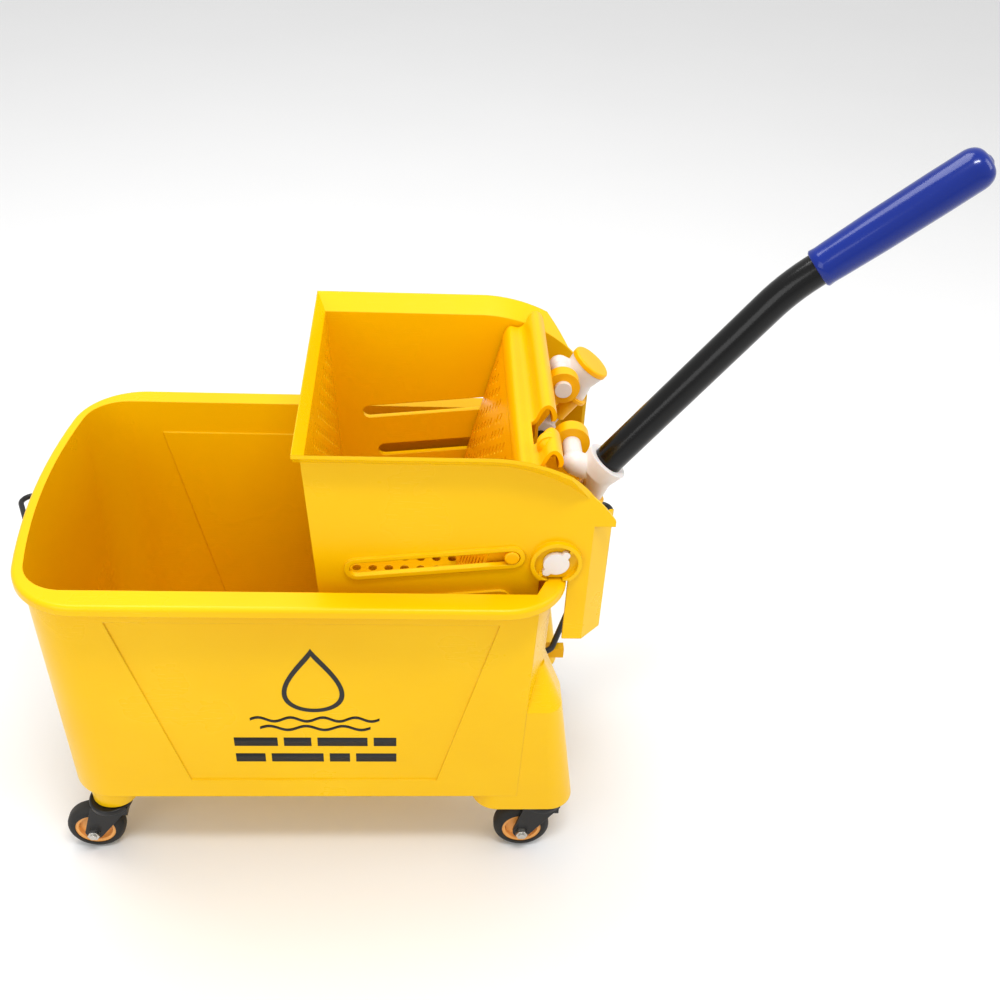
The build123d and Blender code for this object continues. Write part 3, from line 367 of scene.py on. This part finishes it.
def rounded(profile, turns):
    """Replaces the corners named in turns {index: (reach, steps)} by short arcs."""
    points = []
    for index, point in enumerate(profile):
        if index not in turns:
            points.append(point)
            continue
        reach, steps = turns[index]
        here = Vector(point)
        before = (Vector(profile[index - 1]) - here).normalized() * reach
        after = (Vector(profile[(index + 1) % len(profile)]) - here).normalized() * reach
        for step in range(steps + 1):
            t = step / steps
            points.append(tuple(here + before * (1 - t) ** 2 + after * t ** 2))
    return points


# %% [markdown]
# ## The caster wheels
# Each wheel is a hard rubber tyre with round shoulders on a tan moulded hub.  The hub is
# dished, with a raised rim that shows as a paler ring, and a steel axle with a nut on its end.
# All four are the same, so one loop makes them.

# %% Tyre and hub
def tyre_profile(radius, inner, half):
    corners = [(-half, inner), (-half, radius - 0.0042), (-half + 0.0042, radius), (half - 0.0042, radius),
               (half, radius - 0.0042), (half, inner)]
    return rounded(corners, {1: (0.0022, 4), 2: (0.0026, 5), 3: (0.0026, 5), 4: (0.0022, 4)})


def hub_profile(outer, bore, half):
    corners = [(-half * 0.30, bore), (-half, bore), (-half, bore + 0.0022), (-half + 0.0035, bore + 0.0034),
               (-half + 0.0042, outer - 0.0042), (-half + 0.0004, outer - 0.0032), (-half + 0.0002, outer)]
    corners += [(-along, radius) for along, radius in reversed(corners)]
    return rounded(corners, {2: (0.0007, 3), 5: (0.0007, 3), 8: (0.0007, 3), 11: (0.0007, 3)})


for end, side in casters:
    tag = f"{end}_{side}"
    centre = middle_of(f"caster_tyre_{tag}")
    wheel = size_of(f"caster_tyre_{tag}")
    hub = size_of(f"caster_wheel_hub_{tag}")
    axle = size_of(f"caster_axle_bolt_{tag}")
    bm = turned_mesh(tyre_profile(wheel.x / 2, hub.x / 2, wheel.y / 2), closed=True)
    bmesh.ops.translate(bm, vec=centre, verts=bm.verts)
    make_piece(f"tyre_{tag}", bm, f"wheel_{tag}", "tyre_rubber", [f"caster_tyre_{tag}"])
    bm = turned_mesh(hub_profile(hub.x / 2, 0.00305, hub.y / 2), steps=48, closed=True)
    bmesh.ops.translate(bm, vec=centre, verts=bm.verts)
    make_piece(f"hub_{tag}", bm, f"wheel_{tag}", "orange_hub", [f"caster_wheel_hub_{tag}"])

# %% [markdown]
# ## The blue grip
# The grip is a sleeve dipped over the end of the tube.  Its mouth is a soft rounded bead, it
# swells a little towards the middle, and its end is a low dome with a small nub where the
# last drip set.  It is one turned profile, tipped onto the tube's line.  The line is found
# from the CAD grip's own vertices: the middles of its two ends.

# %% Where the grip lies
def end_middles(node, direction):
    """Middle points of a long node's first and last slices along a direction."""
    points = [vertex.co.copy() for vertex in nodes[node].data.vertices]
    reach = [point.dot(direction) for point in points]
    first, last = min(reach), max(reach)
    ends = []
    for level in (first, last):
        ring = [point for point, value in zip(points, reach) if abs(value - level) < 0.0015]
        low_corner = Vector([min(point[axis] for point in ring) for axis in range(3)])
        high_corner = Vector([max(point[axis] for point in ring) for axis in range(3)])
        ends.append((low_corner + high_corner) / 2)
    return ends


GRIP_ANGLE = math.radians(39.7)
grip_line = Vector((math.cos(GRIP_ANGLE), 0.0, math.sin(GRIP_ANGLE)))
grip_start, grip_tip = end_middles("handle_grip", grip_line)
grip_start.y = grip_tip.y = middle_of("handle_grip").y
GRIP_LENGTH = (grip_tip - grip_start).length
GRIP_RADIUS = size_of("handle_grip").y / 2
TUBE_RADIUS = size_of("handle_tube").y / 2
print("grip", round(GRIP_LENGTH, 4), "long, radius", round(GRIP_RADIUS, 4))


# %% Turn the grip
def place_turned(bm, start, direction):
    """Moves a turned mesh so that its axis starts at start and runs along direction."""
    turn = Vector((0.0, 1.0, 0.0)).rotation_difference(direction).to_matrix()
    bmesh.ops.rotate(bm, cent=(0, 0, 0), matrix=turn, verts=bm.verts)
    bmesh.ops.translate(bm, vec=start, verts=bm.verts)


sleeve = [(0.0006, TUBE_RADIUS + 0.0001), (0.0, TUBE_RADIUS + 0.0012), (0.0014, GRIP_RADIUS - 0.0008),
          (0.006, GRIP_RADIUS - 0.0012), (0.014, GRIP_RADIUS - 0.0009),
          (GRIP_LENGTH * 0.35, GRIP_RADIUS - 0.0002), (GRIP_LENGTH * 0.7, GRIP_RADIUS),
          (GRIP_LENGTH - 0.014, GRIP_RADIUS - 0.0002)]
for step in range(1, 9):
    angle = math.radians(step * 9.5)
    sleeve.append((GRIP_LENGTH - 0.0142 + 0.0124 * math.sin(angle),
                   0.0055 + (GRIP_RADIUS - 0.0057) * math.cos(angle)))
sleeve += [(GRIP_LENGTH - 0.0014, 0.0046), (GRIP_LENGTH - 0.0003, 0.0026), (GRIP_LENGTH, 0.0)]
bm = turned_mesh(sleeve, steps=72)
place_turned(bm, grip_start, grip_line)
make_piece("grip_sleeve", bm, "lever", "blue_grip", ["handle_grip"], smooth=60.0)

# %% [markdown]
# ## The printed mark
# The near wall carries a plain printed mark: the outline of a water drop over two wavy lines
# and two rows of short bars.  Each shape starts as flat loops or a grid in X and Z, and is
# then pressed onto the wall: a BVH tree of the CAD wall finds the point in front of every
# vertex, and the print stands a tenth of a millimetre proud of it.

# %% Press a flat shape onto the wall
wall_tree = BVHTree.FromObject(nodes["bucket_shell"], bpy.context.evaluated_depsgraph_get())
PRINT_LIFT = 0.00012
MARK_MIDDLE = -0.060
MARK_LOW = 0.138


def press_on_wall(bm):
    for vertex in bm.verts:
        origin = Vector((vertex.co.x, -0.5, vertex.co.z))
        hit, normal, _, _ = wall_tree.ray_cast(origin, Vector((0.0, 1.0, 0.0)))
        vertex.co = hit + normal * PRINT_LIFT if normal.y < 0 else hit - normal * PRINT_LIFT
    bmesh.ops.solidify(bm, geom=bm.faces[:], thickness=PRINT_LIFT * 0.8)


# %% The drop's outline
def drop_outline(bm, middle_x, foot, width, height):
    """One closed loop, round below and drawn to a point above."""
    loop = bmesh.ops.create_circle(bm, cap_ends=False, radius=1.0, segments=72)["verts"]
    for vertex in loop:
        turn = math.atan2(vertex.co.x, vertex.co.y)
        across = math.sin(turn) * abs(math.sin(turn / 2)) ** 1.4 * 1.28
        vertex.co = Vector((middle_x + across * width / 2, 0.0, foot + (math.cos(turn) + 1) / 2 * height))


def drop_shape(middle_x, foot, width, height, rim):
    """The ring between a drop's outline and a smaller one inside it."""
    bm = bmesh.new()
    drop_outline(bm, middle_x, foot, width, height)
    drop_outline(bm, middle_x, foot + rim, width - 2 * rim, height - 3 * rim)
    bmesh.ops.bridge_loops(bm, edges=bm.edges[:])
    return bm


def band_shape(x_low, x_high, z_low, thickness, waves=0, swing=0.0, pieces=48):
    bm = bmesh.new()
    bmesh.ops.create_grid(bm, x_segments=pieces, y_segments=1, size=0.5)
    for vertex in bm.verts:
        along = vertex.co.x + 0.5
        wave = math.sin(along * math.tau * waves) * swing
        z = z_low + (vertex.co.y + 0.5) * thickness + wave
        vertex.co = Vector((x_low + along * (x_high - x_low), 0.0, z))
    return bm


marks_made = {"drop": drop_shape(MARK_MIDDLE, MARK_LOW + 0.070, 0.058, 0.080, 0.0045)}
for row in range(2):
    marks_made[f"wave_{row + 1}"] = band_shape(
        MARK_MIDDLE - 0.056 + row * 0.008, MARK_MIDDLE + 0.056 - row * 0.008,
        MARK_LOW + 0.0585 - row * 0.0115, 0.0034, waves=4 - row, swing=0.0026)
for row, lengths in enumerate(((0.038, 0.024, 0.044, 0.020), (0.026, 0.046, 0.018, 0.036))):
    left = MARK_MIDDLE - 0.072
    for index, length in enumerate(lengths):
        z_low = MARK_LOW + 0.024 - row * 0.022
        marks_made[f"bar_{row + 1}_{index + 1}"] = band_shape(left, left + length, z_low, 0.0115, pieces=10)
        left += length + 0.0055
for name, bm in marks_made.items():
    press_on_wall(bm)
    make_piece(f"print_{name}", bm, "bucket", "ink", smooth=30.0)

# %% [markdown]
# ## Floor, light and camera
# A plain pale sheet runs far out under the bucket.  One large soft light hangs over the near
# left, a second fills from the right, and the world gives an even white surround, as in a
# product shot.

# %% Floor
bm = bmesh.new()
bmesh.ops.create_grid(bm, x_segments=1, y_segments=1, size=9.0)
mesh = bpy.data.meshes.new("floor")
bm.to_mesh(mesh)
bm.free()
floor = bpy.data.objects.new("floor", mesh)
bpy.context.scene.collection.objects.link(floor)
floor_paint = bpy.data.materials.new("pale floor")
floor_paint.use_nodes = True
paint = floor_paint.node_tree.nodes["Principled BSDF"]
cloud = add_node(floor_paint.node_tree, "ShaderNodeTexNoise", {
    "Vector": add_node(floor_paint.node_tree, "ShaderNodeTexCoord").outputs["Object"], "Scale": 3.0})
floor_paint.node_tree.links.new(
    blend_colour(floor_paint.node_tree, cloud.outputs["Fac"], rgba(0.82, 0.82, 0.82), rgba(0.84, 0.84, 0.84)),
    paint.inputs["Base Color"])
paint.inputs["Roughness"].default_value = 0.6
mesh.materials.append(floor_paint)


# %% Lights
def soft_light(name, place, target, size, power, colour=(1.0, 1.0, 1.0)):
    lamp = bpy.data.lights.new(name, "AREA")
    lamp.shape = "RECTANGLE"
    lamp.size, lamp.size_y = size
    lamp.energy = power
    lamp.color = colour
    holder = bpy.data.objects.new(name, lamp)
    bpy.context.scene.collection.objects.link(holder)
    holder.location = place
    holder.rotation_euler = (Vector(target) - Vector(place)).to_track_quat("-Z", "Y").to_euler()
    return holder


soft_light("lip light", (0.25, -0.75, 2.05), (0.05, 0.05, 0.45), (0.75, 0.22), 12)
soft_light("top light", (-0.5, 0.5, 2.3), (0.0, 0.0, 0.3), (1.4, 1.0), 16)
soft_light("near light", (-1.3, -1.9, 1.3), (0.0, 0.0, 0.25), (1.3, 1.3), 8)
soft_light("right light", (1.9, -0.3, 1.6), (0.1, 0.0, 0.4), (0.7, 1.2), 7)
world = bpy.data.worlds.new("studio")
world.use_nodes = True
world.node_tree.nodes["Background"].inputs["Color"].default_value = (1.0, 1.0, 1.0, 1.0)
world.node_tree.nodes["Background"].inputs["Strength"].default_value = 0.68
bpy.context.scene.world = world
bpy.context.scene.view_settings.view_transform = "Standard"
bpy.context.scene.view_settings.look = "Medium High Contrast"

# %% Camera
CAMERA_PLACE = (0.0304, -0.9265, 0.9962)
PITCH, YAW, ROLL = (math.radians(angle) for angle in (36.75, 4.53, 3.55))
forward = Vector((math.sin(YAW) * math.cos(PITCH), math.cos(YAW) * math.cos(PITCH), -math.sin(PITCH)))
level_right = Vector((math.cos(YAW), -math.sin(YAW), 0.0))
level_up = level_right.cross(forward)
right = level_right * math.cos(ROLL) + level_up * math.sin(ROLL)
up = -level_right * math.sin(ROLL) + level_up * math.cos(ROLL)
camera_data = bpy.data.cameras.new("camera")
camera_data.sensor_width = 36.0
camera_data.lens = 44.12
camera = bpy.data.objects.new("camera", camera_data)
bpy.context.scene.collection.objects.link(camera)
camera.matrix_world = Matrix.Translation(CAMERA_PLACE) @ Matrix((right, up, -forward)).transposed().to_4x4()
bpy.context.scene.camera = camera
